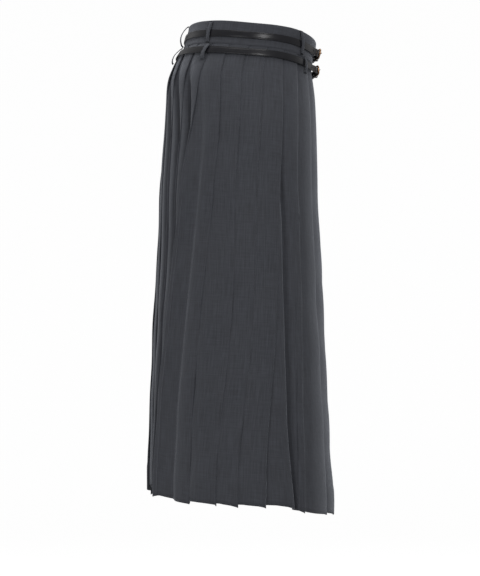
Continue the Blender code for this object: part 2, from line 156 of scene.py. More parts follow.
# One row a pleat, from the centre front round by the right, the back and the left. hip, knee
# and hem are how many degrees the fold has moved round by those levels. The rest is its form at
# the hem, in cm and in shares of the way to the next fold: the fold stands out by stand, its
# face rises by rise as far as shoulder, sinks by drop at dip, and ends under the next fold at
# valley, depth below that fold's layers. opens is the share of the pleated length above which it
# lies pressed. The creases move apart as fast as the height grows where slow is 1, later above 1
# and sooner below it.
FOLDS = table(
    "hip knee hem stand shoulder rise dip drop valley depth opens slow",
    (0, 1, 1, 0.2, 0.5, 0.15, 0.92, 0.4, 1.24, 0.7, 0.2, 1),
    (1, 0, -1, 0.2, 0.5, 0.15, 0.92, 0, 1.22, 0, 0.2, 1),
    (2, 0, -2, 0, 0.6, 0.1, 0.9, 0.1, 1.12, 0.1, 0.07, 1),
    (5, 6, 9.4, 0.6, 0.12, 0.15, 0.17, 1.1, 1.14, 0.3, 0.08, 3),
    (3, 9, 19, 0.08, 0.25, 0.12, 0.75, -0.1, 1.06, -0.02, 0.16, 0.5),
    (4, 9, 19, 0.08, 0.25, 0.12, 0.75, -0.1, 1.06, -0.02, 0.16, 0.5),
    (3, 6, 16, 0.08, 0.25, 0.12, 0.75, -0.1, 1.06, -0.02, 0.14, 0.5),
    (1, 11, 17, 0.1, 0.35, 0.3, 0.5, 0, 0.9, 0.1, 0.02, 0.3),
    (7, 17.5, 25, 1.5, 0.03, 0.9, 0.11, 1.1, 0.9, 0, 0.02, 0.3),
    (2, 5, 15, 0.3, 0.03, -0.2, 0.1, 1, 0.9, 0.1, 0.02, 0.3),
    (-3, -3, 4, 0.3, 0.03, 0, 0.1, 0.9, 1.03, 0, 0.02, 0.3),
    (-2, -2, -1, -0.2, 0.35, 0.05, 0.74, 0.2, 1.12, 0.5, 0.1, 1),
    (-1, -1, -3, 0.5, 0.4, 0.35, 0.78, 0.7, 1.1, 1.3, 0.1, 1),
    (-5, -8, -9, 0.4, 0.4, 0.3, 0.8, 0.6, 1.14, 1.3, 0.11, 1),
    (-7, -14, -19, 0.5, 0.45, 0.35, 0.82, 0.6, 1.16, 0.9, 0.12, 1),
    (-2, -10, -15, 0.2, 0.5, 0.15, 0.9, 0.4, 1.22, 0.8, 0.16, 1),
    (-4, -8, -16, 0.3, 0.45, 0.2, 0.88, 0.4, 1.22, 0.8, 0.16, 1),
    (-4, -9, -18, 0.2, 0.5, 0.15, 0.9, 0.3, 1.16, 0.8, 0.11, 1),
    (-4, -9, -17, 0.4, 0.38, 0.3, 0.66, 0.9, 1.18, 1, 0.12, 1),
    (-4, -8, -9, 0.2, 0.5, 0.15, 0.9, 0.4, 1.22, 0.8, 0.18, 1),
    (-2, 0, -1, 0.3, 0.5, 0.2, 0.92, 0.4, 1.24, 0.7, 0.2, 1),
    (-1, 0, 0, 0.2, 0.5, 0.15, 0.92, 0.4, 1.24, 0.7, 0.2, 1),
)

# The pleats whose face has a narrow crease at its dip: by the pleat's number, the share of the way
# to the next fold at which the face has come out of it again, how far out that is there, and how
# much deeper the crease is between the waist and the knee, both in cm
Crease = namedtuple("Crease", "at out deeper")
CREASES = {
    3: Crease(0.26, 0.0, 0.0),
    7: Crease(0.60, 0.2, 0.0),
    8: Crease(0.22, -0.1, 1.0),
    9: Crease(0.22, -0.1, 1.0),
    10: Crease(0.24, 0.0, 0.8),
}
DEEP_FROM, DEEP_TO, DEEP_END = 0.16, 0.30, 0.60  # shares of the pleated length
DEEP_SHOULDER = 0.7  # how much of the depth the shoulder beside the crease sinks by

# Each step of a belt strap near the buckle: its distance left of the buckle's place, and its
# height off the strap's resting surface
UNDER_LAYER, OVER_LAYER = 2.15, 4.2  # the heights of the two layers in the keeper
TURNED_BACK_MM = ((16, 0.0), (12, 0.0))
LEAVING_MM = ((12, 4.4), (15.5, 3.1), (19, UNDER_LAYER), (26, UNDER_LAYER), (36, 0.0))
COMING_MM = ((-32, 0.0), (-25, 0.4), (-18.5, 1.7), (-12.5, 3.8), (-7, 4.6), (-3, 5.0))
CROSSING_MM = ((1, 5.8), (5, 6.9), (9.5, 7.3))
LYING_MM = ((12.5, 6.6), (15.5, 5.4), (19, OVER_LAYER), (26, OVER_LAYER), (36, 2.1))
FREE_TURNS_MM = (48, 60, 71, 79, 84)
HOLES_MM = (-23, -10, 3, 16, 29)  # the prong holes, left of the buckle's place
HOLE_RADIUS = 1.0 * MM
HOLE_REACH = 1.2 * MM

# One row a place that carries an upper and a lower belt loop: the angles of the upper loop's two
# ends, the lower loop's angle, and how far the loops stand out at their middle, in mm
CARRIERS = table(
    "name top seam low upper lower",
    ("front_right", 53, 46.5, 42, 7.4, 9.4),
    ("back_right", 138, 137, 134, 7.6, 9.9),
    ("back", 180, 180, 180, 12.6, 10.9),
    ("back_left", 222, 223, 226, 7.6, 9.9),
    ("front_left", 309, 315, 319, 7.4, 9.4),
)

# The four panels in order round the skirt, the pleat whose hidden layer each starts in, and which
# of the lower belt loops it carries
PANELS = table(
    "name starts loops",
    ("right", 3, (1,)),
    ("back", 8, (2, 3)),
    ("left", 14, ()),
    ("front", 19, (0, 4)),
)

# What the dressed cloth adds to the solids
CLOTH = 0.6 * MM  # thickness of the wool
TURN_UP = 4.0 * CM  # height of the hem's turned-up layer
TURN_UP_EDGE = 1.5 * MM
HEM_LAYERS = 2.1  # thickness of the wall there, in layers of cloth
HEM_DROOP = 3.4 * MM  # how far the folds' corners hang below the rest of the hem
DROOP_FROM = 0.90  # share of the pleated length where that begins
SEAM_LAYER = 0.48  # how flat the waist seam presses the pleats
SEAM_MIDDLE = 1.6 * MM
SEAM_EASE = 1.8 * CM  # below the seam, where the pleats have their full thickness
UNDER_BAND = 1.5 * MM
PANEL_GAP = 0.4 * MM
ROW_STEP = 7.2 * MM
TOP_ROWS_MM = (0, 2, 5, 9, 14, 20)
PLEAT_PITCH = 0.2  # from one pleat to the next across the cloth's pattern
SEGMENTS = (7, 4, 4, 2, 2, 4, 2, 2, 7)  # columns from each point of a pleat's path to the next
PLEAT_COLUMNS = sum(SEGMENTS)
TIP_COLUMN = sum(SEGMENTS[:7])  # the next fold's tip, counted from a pleat's shoulder
VALLEY_COLUMN = sum(SEGMENTS[:4])
COLUMNS = PLEATS * PLEAT_COLUMNS
SEAM_COLUMN = VALLEY_COLUMN  # where a panel starts: at the inner fold, out of sight
SEED = 11
WRINKLES = 14
WRINKLE_TOP, WRINKLE_MORE = 0.05 * MM, 0.22 * MM
UNEVEN_DROOP = 0.3


def smooth(places, values, at):
    """A smooth curve through the values, level at both ends of its places."""
    places = np.asarray(places, float)
    values = np.asarray(values, float)
    slopes = np.zeros_like(values)
    slopes[1:-1] = (values[2:] - values[:-2]) / (places[2:] - places[:-2])
    at = np.clip(at, places[0], places[-1])
    left = np.clip(np.searchsorted(places, at, side="right") - 1, 0, len(places) - 2)
    width = places[left + 1] - places[left]
    t = (at - places[left]) / width
    start = values[left] + (values[left + 1] - values[left]) * t * t * (3 - 2 * t)
    return start + width * t * (1 - t) * (slopes[left] * (1 - t) - slopes[left + 1] * t)


def column(table, name):
    return np.array([getattr(row, name) for row in table])


def outline(below):
    """Half depth, middle along Y and half width of the base surface at a distance below the top."""
    places = column(BODY_CM, "below") * CM
    front, back, side = (
        float(smooth(places, column(BODY_CM, name) * CM, below)) - DRESSED
        for name in ("front", "back", "side")
    )
    return (front + back) / 2, (back - front) / 2, side


def edge_height(angle, name):
    """Height of the top edge or the hem at an angle in radians."""
    from_front = np.degrees(np.abs((np.asarray(angle) + math.pi) % math.tau - math.pi))
    return smooth(column(EDGES_CM, "angle"), column(EDGES_CM, name) * CM, from_front)


def place(angle, below, out):
    """The point at an angle in radians, below the top edge and out from the base surface."""
    depth, middle, side = outline(below)
    sine, cosine = np.sin(angle), np.cos(angle)
    across = np.hypot(depth * sine, side * cosine)
    top = edge_height(angle, "top")
    stretch = (top - edge_height(angle, "hem")) / SIDE_LENGTH
    x = -side * sine - out * depth * sine / across
    y = middle - depth * cosine - out * side * cosine / across
    return np.stack([x, y, top - below * stretch], axis=-1)


class Ring:
    """Turns angles at one level into distances round the base surface, and back."""

    def __init__(self, below):
        depth, _, side = outline(below)
        self.angles = np.linspace(-math.pi, 5 * math.pi, 2161)
        speed = np.hypot(side * np.cos(self.angles), depth * np.sin(self.angles))
        steps = (speed[1:] + speed[:-1]) / 2 * np.diff(self.angles)
        self.along = np.concatenate([[0.0], np.cumsum(steps)])
        self.along -= np.interp(0.0, self.angles, self.along)

    def distance(self, angle):
        return np.interp(angle, self.angles, self.along)

    def angle(self, distance):
        return np.interp(distance, self.along, self.angles)

    @property
    def round(self):
        return self.distance(math.tau)


def ease(t):
    t = np.clip(t, 0.0, 1.0)
    return t * t * (3 - 2 * t)


def fold_angle(index, share):
    """Angle in radians of a pleat's fold at a share of the way down the pleated length."""
    row = FOLDS[index % PLEATS]
    moved = smooth((0.0, HIP, KNEE, HEM), (0.0, row.hip, row.knee, row.hem), share)
    return math.radians(FIRST_FOLD + 360 / PLEATS * index + float(moved))


def opened(row, share):
    """How far a pleat has opened, from 0 where it is pressed to 1 at the hem."""
    t = (share - row.opens) / (1 - row.opens)
    return 0.0 if t <= 0 else float(ease(t * 3)) * (EARLY + (1 - EARLY) * t)


def blend(pressed, loose, amount):
    return pressed * (1 - amount) + loose * amount


def layer_at(share):
    """From one layer of the pressed cloth to the next: thicker where the hem is turned up."""
    return blend(LAYER_TOP, LAYER_HEM, float(ease((share - THICKENS_FROM) / THICKENS_OVER)))


def fold_height(index, share):
    """How far out the middle of a pleat's fold stands."""
    row = FOLDS[index % PLEATS]
    uneven = sway(index, 2, share, SWAY_DEPTH)
    return 1.5 * layer_at(share) + (row.stand * CM + uneven) * opened(row, share)


def unit(vectors):
    return vectors / np.linalg.norm(vectors, axis=-1, keepdims=True)


def turn(before, centre, after, layer):
    """Three points round a fold in the cloth, half a layer from its centre."""
    first, second = unit(before - centre), unit(after - centre)
    inward = unit(first + second)
    across = inward[::-1] * (-1, 1)
    if across @ (first - second) < 0:
        across = -across
    half = layer / 2
    return [centre + across * half, centre - inward * half, centre - across * half]


# Unevenness of the pressed cloth: a few slow waves down each pleat, with drawn heights and starts
draws = np.random.default_rng(SEED)
SWAY_FOLD, SWAY_SHOULDER, SWAY_DEPTH = 0.9 * MM, 1.5 * MM, 0.5 * MM
SWAY_WAVES = np.array([0.9, 1.7, 2.9, 4.3])
SWAY_HEIGHTS = [0.5, 0.35, 0.2, 0.12]
SWAYS = draws.normal(size=(PLEATS, 3, 2, len(SWAY_HEIGHTS)))


def sway(index, kind, share, size):
    """A small slow wave down a pleat: kind 0 moves its fold, 1 its shoulder and 2 its depth."""
    heights, starts = SWAYS[index % PLEATS, kind]
    waves = np.sin(math.tau * (SWAY_WAVES * share + starts))
    return size * float(heights @ (waves * SWAY_HEIGHTS)) * min(1.0, share * 4)


def fold_distance(index, share, ring):
    return ring.distance(fold_angle(index, share)) + sway(index, 0, share, SWAY_FOLD)


def lap_of(index, share, ring):
    """How far the pressed layers under a fold reach back from it."""
    span = fold_distance(index + 1, share, ring) - fold_distance(index, share, ring)
    return min(LAP, MOST_LAP * span)


def pleat_marks(index, share, ring):
    """Fold, shoulder, dip, lift and valley of a pleat, each as distance round and distance out."""
    row = FOLDS[index % PLEATS]
    layer = layer_at(share)
    amount = opened(row, share)
    moved = amount**row.slow if row.slow > 1 else 1 - (1 - amount) ** (1 / row.slow)
    fold = fold_distance(index, share, ring)
    following = fold_distance(index + 1, share, ring)
    span = following - fold
    laps = lap_of(index, share, ring), lap_of(index + 1, share, ring)
    top = fold_height(index, share)
    rounded = min(span * row.shoulder, span * row.shoulder + sway(index, 1, share, SWAY_SHOULDER))
    crease = CREASES.get(index % PLEATS)
    deeper = 0.0
    if crease:
        fading = ease((share - DEEP_TO) / (DEEP_END - DEEP_TO))
        deeper = crease.deeper * CM * float(ease(share / DEEP_FROM) * (1 - fading))
    shoulder = (
        fold + blend(laps[0] + layer, rounded, moved),
        top + 0.5 * layer + (row.rise - row.stand) * CM * amount - DEEP_SHOULDER * deeper,
    )
    dip = (
        fold + span * blend(1.0, row.dip, moved),
        (2 * layer - row.drop * CM) * amount - deeper,
    )
    valley = (
        fold + blend(span + laps[1], span * row.valley, moved),
        fold_height(index + 1, share) - layer - row.depth * CM * amount,
    )
    lift = (np.array(dip) + valley) / 2
    if crease:
        lift = (
            fold + blend(span + laps[1] / 2, span * crease.at, moved),
            (2 * layer + crease.out * CM) * amount,
        )
    return np.array([(fold, top), shoulder, dip, lift, valley])


def wall_controls(share, ring):
    """The points that the cloth's middle line goes through at one level, nine a pleat."""
    marks = [pleat_marks(index, share, ring) for index in range(PLEATS + 1)]
    path = []
    for index in range(PLEATS):
        _, shoulder, dip, lift, valley = marks[index]
        following, next_shoulder = marks[index + 1][:2]
        path += [shoulder, dip, lift]
        path += turn(lift, valley, following, layer_at(share))
        path += turn(valley, following, next_shoulder, layer_at(share))
    return np.array(path)


def between(t, first, last, start, end):
    return (last - t) / (last - first) * start + (t - first) / (last - first) * end


def through(before, start, end, after, steps):
    """Points of a smooth curve from start towards end, which also looks at its two neighbours."""
    knots = [np.zeros(len(start))]
    for a, b in ((before, start), (start, end), (end, after)):
        knots.append(knots[-1] + np.maximum(np.linalg.norm(b - a, axis=1), 1e-9) ** 0.5)
    k0, k1, k2, k3 = (k[:, None, None] for k in knots)
    t = k1 + (k2 - k1) * (np.arange(steps) / steps)[None, :, None]
    p0, p1, p2, p3 = (p[:, None, :] for p in (before, start, end, after))
    a1 = between(t, k0, k1, p0, p1)
    a2 = between(t, k1, k2, p1, p2)
    a3 = between(t, k2, k3, p2, p3)
    return between(t, k1, k2, between(t, k0, k2, a1, a2), between(t, k1, k3, a2, a3))


def closed_curve(points, steps, shift=0.0):
    """A smooth closed curve. steps gives the points from each control to the next, in turns."""
    points = np.asarray(points, float)
    jump = np.zeros(points.shape[1])
    jump[0] = shift
    around = np.vstack([points[-1:] - jump, points, points[:2] + jump])
    made = [None] * len(points)
    kinds = len(steps)
    for kind, count in enumerate(steps):
        rows = np.arange(kind, len(points), kinds)
        parts = through(*(around[rows + k] for k in range(4)), count)
        for row, part in zip(rows, parts):
            made[row] = part
    return np.vstack(made)


def open_curve(points, most):
    """A smooth open curve through the points, with its own points no further apart than most."""
    points = np.asarray(points, float)
    around = np.vstack([2 * points[:1] - points[1:2], points, 2 * points[-1:] - points[-2:-1]])
    made = []
    for row in range(len(points) - 1):
        length = np.linalg.norm(points[row + 1] - points[row])
        steps = max(2, math.ceil(length / most))
        ends = [around[row + k : row + k + 1] for k in range(4)]
        made.append(through(*ends, steps)[0])
    made.append(points[-1:])
    return np.vstack(made)


def wall_rows():
    """Distances below the waist seam of the cloth's rows of points."""
    top = [-UNDER_BAND] + [row * MM for row in TOP_ROWS_MM]
    count = math.ceil((PLEATED_LENGTH - top[-1]) / ROW_STEP)
    return np.array(top + list(np.linspace(top[-1], PLEATED_LENGTH, count + 1)[1:]))


def wrinkles(rows):
    """Slow small swellings of the cloth, in metres outwards."""
    share = rows / PLEATED_LENGTH
    pleat = np.arange(COLUMNS) / PLEAT_COLUMNS
    total = np.zeros((len(rows), COLUMNS))
    for _ in range(WRINKLES):
        across, down = draws.uniform(3, 26), draws.uniform(1.0, 7.0)
        start, start_down = draws.uniform(0, math.tau, 2)
        lean = draws.uniform(-2, 2)
        turned = math.tau * round(across) * pleat[None, :] / PLEATS
        wave = np.sin(turned + start + lean * share[:, None])
        total += wave * np.sin(math.tau * down * share[:, None] + start_down)
    return total * (WRINKLE_TOP + WRINKLE_MORE * ease(share * 1.5))[:, None]


def skirt_wall():
    """The whole pleated wall: points of each row, places across the cloth, and distances down."""
    rows = wall_rows()
    angles, out, length = [], [], []
    for row in rows:
        share = max(row, 0.0) / PLEATED_LENGTH
        ring = Ring(BAND_HEIGHT + row)
        path = closed_curve(wall_controls(share, ring), SEGMENTS, shift=ring.round)
        steps = np.linalg.norm(np.diff(np.vstack([path, path[:1] + [ring.round, 0]]), axis=0), axis=1)
        squeeze = SEAM_LAYER + (1 - SEAM_LAYER) * float(ease(row / SEAM_EASE))
        angles.append(ring.angle(path[:, 0]))
        out.append(SEAM_MIDDLE + (path[:, 1] - SEAM_MIDDLE) * squeeze)
        length.append(np.concatenate([[0.0], np.cumsum(steps)]))
    out = np.array(out) + wrinkles(rows)
    points = np.array([place(*spot) for spot in zip(angles, BAND_HEIGHT + rows, out)])
    points[..., 2] -= droop(rows)
    return rows, points, np.array(length)


def droop(rows):
    """How far each point near the hem hangs down: most at the folds' corners."""
    pleat, after = np.divmod(np.arange(COLUMNS) - TIP_COLUMN, PLEAT_COLUMNS)
    face = PLEAT_COLUMNS - TIP_COLUMN + SEGMENTS[0]
    under = PLEAT_COLUMNS - (TIP_COLUMN - VALLEY_COLUMN)
    amount = np.where(after <= face, 1 - after / face, 0.0)
    amount = np.where(after >= under, (after - under) / (PLEAT_COLUMNS - under), amount)
    share = ease((rows / PLEATED_LENGTH - DROOP_FROM) / (1 - DROOP_FROM))
    uneven = 1 + UNEVEN_DROOP * np.clip(draws.normal(size=PLEATS), -1.5, 1.5)
    return share[:, None] * (amount * uneven[pleat % PLEATS])[None, :] * HEM_DROOP


def cloth_places(length):
    """Across the cloth from each pleat's fold, for the faces left and right of each column."""
    places = []
    for before in (1, 0):
        chunk = (np.arange(COLUMNS + 1) - VALLEY_COLUMN - before) // PLEAT_COLUMNS
        tip = chunk * PLEAT_COLUMNS + TIP_COLUMN
        tip_at = length[:, tip % COLUMNS] + length[:, -1:] * (tip // COLUMNS)
        places.append(length - tip_at + chunk % PLEATS * PLEAT_PITCH)
    return places


def add_object(name, data):
    made = bpy.data.objects.new(name, data)
    bpy.context.scene.collection.objects.link(made)
    return made


def mesh_piece(name, points, faces, material=None, uvs=None):
    """A mesh object. uvs has one place on the cloth for each corner of each face, in metres."""
    mesh = bpy.data.meshes.new(name)
    mesh.from_pydata(np.asarray(points).reshape(-1, 3).tolist(), [], faces)
    if uvs is not None:
        layer = mesh.uv_layers.new(name="cloth")
        layer.data.foreach_set("uv", np.asarray(uvs, np.float32).ravel())
    mesh.shade_smooth()
    if material is not None:
        mesh.materials.append(material)
    return add_object(name, mesh)


def grid_faces(rows, columns):
    """Quads of a grid of points, left to right and top to bottom, facing outwards."""
    starts = [row * columns + number for row in range(rows - 1) for number in range(columns - 1)]
    return [(at, at + columns, at + columns + 1, at + 1) for at in starts]


def ring_faces(row, after, sides):
    """The quads between two closed sections of that many corners."""
    here, there = row * sides, after * sides
    ends = [(side, (side + 1) % sides) for side in range(sides)]
    return [(here + side, here + next_one, there + next_one, there + side) for side, next_one in ends]


def build_panel(name, wall, start, end):
    """One of the pleated panels, from its right seam to its left one."""
    rows, points, length = wall
    left_at, right_at = cloth_places(length)
    wanted = np.arange(start, end + 1)
    grid = points[:, wanted % COLUMNS].copy()
    for edge, inner in ((0, 1), (-1, -2)):
        grid[:, edge] += unit(grid[:, inner] - grid[:, edge]) * PANEL_GAP / 2
    faces = grid_faces(len(rows), len(wanted))
    u_left = right_at[:, wanted[:-1] % COLUMNS]
    u_right = left_at[:, (wanted[1:] - 1) % COLUMNS + 1]
    v = rows[:, None] + np.zeros_like(u_left)
    upper, lower = slice(None, -1), slice(1, None)
    order = ((u_left, upper), (u_left, lower), (u_right, lower), (u_right, upper))
    corners = np.stack([np.stack([u[part], v[part]], -1) for u, part in order], axis=2)
    piece = mesh_piece(f"skirt_{name}", grid, faces, wool, corners)
    hem = piece.vertex_groups.new(name="hem")
    turned = ease((rows - (PLEATED_LENGTH - TURN_UP)) / TURN_UP_EDGE)
    for row, share in enumerate(turned):
        numbers = list(range(row * len(wanted), (row + 1) * len(wanted)))
        hem.add(numbers, float((1 + share * (HEM_LAYERS - 1)) / HEM_LAYERS), "REPLACE")
    wall_of = piece.modifiers.new("thickness", "SOLIDIFY")
    wall_of.thickness = CLOTH * HEM_LAYERS
    wall_of.offset = -1.0
    wall_of.vertex_group = "hem"
    dress(piece, f"{name}_panel")


def tube_faces(count, sides, closed=False):
    """The faces over that many sections of that many corners, with an end cap on an open tube."""
    faces = []
    for row in range(count if closed else count - 1):
        faces += ring_faces(row, (row + 1) % count, sides)
    if not closed:
        faces.append(tuple(range(sides - 1, -1, -1)))
        faces.append(tuple((count - 1) * sides + side for side in range(sides)))
    return faces


def tube(name, sections, material, closed=False):
    """A piece skinned over its sections, each given by its corners in space."""
    return mesh_piece(name, sections, tube_faces(*sections.shape[:2], closed), material)


def tubes(name, shapes, material=None):
    """One piece of several open tubes."""
    points, faces = [], []
    for sections in shapes:
        first = len(points)
        points += sections.reshape(-1, 3).tolist()
        made = tube_faces(*sections.shape[:2])
        faces += [tuple(first + corner for corner in face) for face in made]
    return mesh_piece(name, points, faces, material)


def round_sections(line, radii, sides=14, closed=False):
    """Round sections along a line of points, without twist."""
    line = np.asarray(line, float)
    if closed:
        ahead = np.roll(line, -1, axis=0) - np.roll(line, 1, axis=0)
    else:
        ahead = np.gradient(line, axis=0)
    ahead = unit(ahead)
    side = unit(np.cross(ahead[0], (0.3, 0.2, 0.9)))
    turned = np.arange(sides) * math.tau / sides
    sections = []
    for point, along, radius in zip(line, ahead, np.broadcast_to(radii, len(line))):
        side = unit(side - along * (side @ along))
        other = np.cross(along, side)
        sections.append(
            point + radius * (np.cos(turned)[:, None] * side + np.sin(turned)[:, None] * other)
        )
    return np.array(sections)


def build_band():
    """The waistband: two layers of cloth turned over at the top edge."""
    columns = BAND_COLUMNS
    angles = np.arange(columns) * math.tau / columns
    half = BAND_WALL / 2
    section = [(level, half) for level in np.linspace(BAND_HEIGHT, BAND_CORNER, BAND_LEVELS)]
    for turned in np.radians((30, 60, 90, 120, 150)):
        section.append((BAND_CORNER * (1 - math.sin(turned)), half * math.cos(turned)))
    section += [(level, -half) for level in np.linspace(BAND_CORNER, BAND_HEIGHT, BAND_LEVELS)]
    for turned in np.radians((45, 90, 135)):
        section.append((BAND_HEIGHT + BAND_BULGE * math.sin(turned), -half * math.cos(turned)))
    waves = draws.uniform(0, math.tau, 6)
    uneven = sum(np.sin((k + 2) * angles + start) for k, start in enumerate(waves)) * BAND_UNEVEN
    rows = [
        place(angles, level, BAND_OUT + out + uneven * (1 - level / BAND_HEIGHT))
        for level, out in section
    ]
    sides = len(section)
    faces, uvs = [], []
    around = Ring(BAND_HEIGHT / 2).distance(np.arange(columns + 1) * math.tau / columns)
    levels = [level + (INSIDE_CLOTH if out < 0 else 0.0) for level, out in section]
    for row in range(sides):
        after = (row + 1) % sides
        faces += ring_faces(row, after, columns)
        low, high = levels[row], levels[after]
        if abs(low - high) > INSIDE_CLOTH / 2:
            high = low
        for left, right in zip(around, around[1:]):
            uvs += [(left, low), (right, low), (right, high), (left, high)]
    piece = mesh_piece("waistband_cloth", rows, faces, wool, uvs)
    dress(piece, "waistband")


def strap_path(below, rest):
    """A strap's line: its distance round and distance out at each step."""
    ring = Ring(below)
    heel = [
        (HEEL_AT - FOLD * math.sin(turned), FOLD * (1 - math.cos(turned)))
        for turned in np.linspace(0, math.pi, 7)
    ]
    back, leaving, coming, crossing, lying = (
        [(left * MM, out * MM) for left, out in steps]
        for steps in (TURNED_BACK_MM, LEAVING_MM, COMING_MM, CROSSING_MM, LYING_MM)
    )
    high = lying[-1][1]
    turns = [(left * MM, high) for left in FREE_TURNS_MM] + [(FREE_END, high)]
    start = BUCKLE_PLACE + ring.round
    away = [(start - left, out) for left, out in back + heel + leaving]
    home = [(BUCKLE_PLACE - left, out) for left, out in coming + crossing + lying + turns]
    first, last = away[-1][0] - STRAP_EASE, home[0][0] + STRAP_EASE
    count = math.ceil((first - last) / STRAP_STEP)
    round_waist = [(float(at), 0.0) for at in np.linspace(first, last, count)]
    return ring, np.array(away + round_waist + home) + [0.0, rest]


def strap_section():
    """Corners of a strap's section, across and out: creased along both edges of its face."""
    half, thick = STRAP_WIDTH / 2, STRAP / 2
    creased = half - CREASE_AT
    top = [
        (half, 0.45 * thick),
        (half - 0.12 * MM, 0.8 * thick),
        (half - STRAP_CORNER, thick),
        (creased + CREASE_HALF, thick),
        (creased, thick - CREASE_DEEP),
        (creased - CREASE_HALF, thick),
        (half * 0.35, thick + STRAP_CROWN),
    ]
    upper = top + [(-across, out) for across, out in reversed(top)]
    under = [(-half, -0.45 * thick), (-half + STRAP_CORNER, -thick)]
    under += [(0.0, -thick)] + [(-across, out) for across, out in reversed(under)]
    return np.array(upper + under)


def strap_sections(below, rest):
    """Points of a strap's sections all along it, from the end behind the buckle to its tip."""
    ring, path = strap_path(below, rest)
    line = open_curve(path, STRAP_FINE)
    outward = unit(np.gradient(line, axis=0))[:, ::-1] * (1, -1)
    steps = np.linalg.norm(np.diff(line, axis=0), axis=1)
    left_over = np.concatenate([np.cumsum(steps[::-1])[::-1], [0.0]])
    narrow = np.sqrt(np.clip(1 - (1 - np.clip(left_over / STRAP_TIP, 0, 1)) ** 2, 0.02, 1))
    edges = []
    for across, out in strap_section():
        at = line + outward * out
        levels = below + across * narrow
        edges.append([place(ring.angle(at[k, 0]), levels[k], at[k, 1]) for k in range(len(at))])
    return np.array(edges).transpose(1, 0, 2)


def front_point(ring, left, below, out):
    return place(ring.angle(BUCKLE_PLACE - left), below, out)


def buckle_outline():
    """The middle line of the D-shaped frame: along from the heel bar, and up."""
    half = BUCKLE_TALL / 2
    free = [
        (
            BUCKLE_STRAIGHT + (BUCKLE_WIDE - BUCKLE_STRAIGHT) * math.cos(turned) ** ROUNDING,
            half * math.copysign(abs(math.sin(turned)) ** ROUNDING, turned),
        )
        for turned in np.radians(np.linspace(-84, 84, 13))
    ]
    heel = [(HEEL_CORNER, half), (0.0, half - HEEL_CORNER)]
    heel += [(0.0, HEEL_CORNER - half), (HEEL_CORNER, -half)]
    return free + heel


def prong_outline():
    """The prong's middle line: along from the heel bar, and away from the buckle's plane."""
    eye = [
        (-EYE * math.sin(turned), EYE * math.cos(turned))
        for turned in np.radians(np.linspace(235, 0, 12))
    ]
    return eye + [(BUCKLE_WIDE * 0.5, EYE), (BUCKLE_WIDE + PRONG_OVER, EYE)]


def tilted_point(ring, below, rest, along, up, away):
    """A point of the buckle: along from the heel bar, up, and away from the frame's plane."""
    left = HEEL_AT - along * math.cos(BUCKLE_TILT) + away * math.sin(BUCKLE_TILT)
    out = rest + FOLD + along * math.sin(BUCKLE_TILT) + away * math.cos(BUCKLE_TILT)
    return front_point(ring, left, below - up, out)


def dress(piece, node):
    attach(piece, "root")
    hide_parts(node)
    return piece


def dressed_tube(node, part, sections, material, closed=False):
    return dress(tube(f"{node}_{part}", sections, material, closed), node)


def build_buckle(which, below, rest):
    ring = Ring(below)
    line = closed_curve(buckle_outline(), (BAR_STEPS,))
    flat = np.array([tilted_point(ring, below, rest, along, up, 0.0) for along, up in line])
    radii = BAR + BAR_SWELL * ease(line[:, 0] / BUCKLE_WIDE)
    sections = round_sections(flat, radii, closed=True)
    dressed_tube(f"buckle_{which}", "frame", sections, bronze, closed=True)
    prong_line = open_curve(prong_outline(), PRONG_STEP)
    prong = np.array([tilted_point(ring, below, rest, along, 0.0, away) for along, away in prong_line])
    share = np.linspace(0, 1, len(prong))
    radii = PRONG - PRONG_TAPER * ease((share - 0.5) * 2)
    radii[-1] = PRONG_TIP
    dressed_tube(f"prong_{which}", "tongue", round_sections(prong, radii), bronze)


def build_keeper(which, below, rest):
    """The leather keeper: a narrow band round both layers of strap."""
    ring = Ring(below)
    low, high = UNDER_LAYER * MM - KEEPER_ROOM, OVER_LAYER * MM + KEEPER_ROOM
    half = STRAP_WIDTH / 2 + KEEPER_SIDE
    corner = KEEPER_CORNER
    roundings = [
        (high - corner, half - corner, 90, 0),
        (high - corner, corner - half, 0, -90),
        (low + corner, corner - half, 270, 180),
        (low + corner, half - corner, 180, 90),
    ]
    line = []
    for out, across, first, last in roundings:
        for turned in np.radians(np.linspace(first, last, 5)):
            line.append((out + corner * math.cos(turned), across + corner * math.sin(turned)))
    line = np.array(line)
    normal = unit(np.roll(line, -1, axis=0) - np.roll(line, 1, axis=0))[:, ::-1] * (-1, 1)
    wide = (KEEPER_TO - KEEPER_FROM) / 2
    edge = wide - 0.3 * MM
    centre = (KEEPER_TO + KEEPER_FROM) / 2
    section = [(wide, 0.4), (edge, 1.0), (0.0, 1.1), (-edge, 1.0), (-wide, 0.4)]
    section += [(-wide, -0.4), (-edge, -1.0), (edge, -1.0), (wide, -0.4)]
    sections = []
    for (out, across), (n_out, n_across) in zip(line, normal):
        corners = []
        for along, push in section:
            level = below + across - n_across * KEEPER_HALF * push
            away = rest + out - n_out * KEEPER_HALF * push
            corners.append(front_point(ring, centre + along, level, away))
        sections.append(corners)
    sections = np.array(sections)
    dressed_tube(f"keeper_{which}", "band", sections, leather, closed=True)


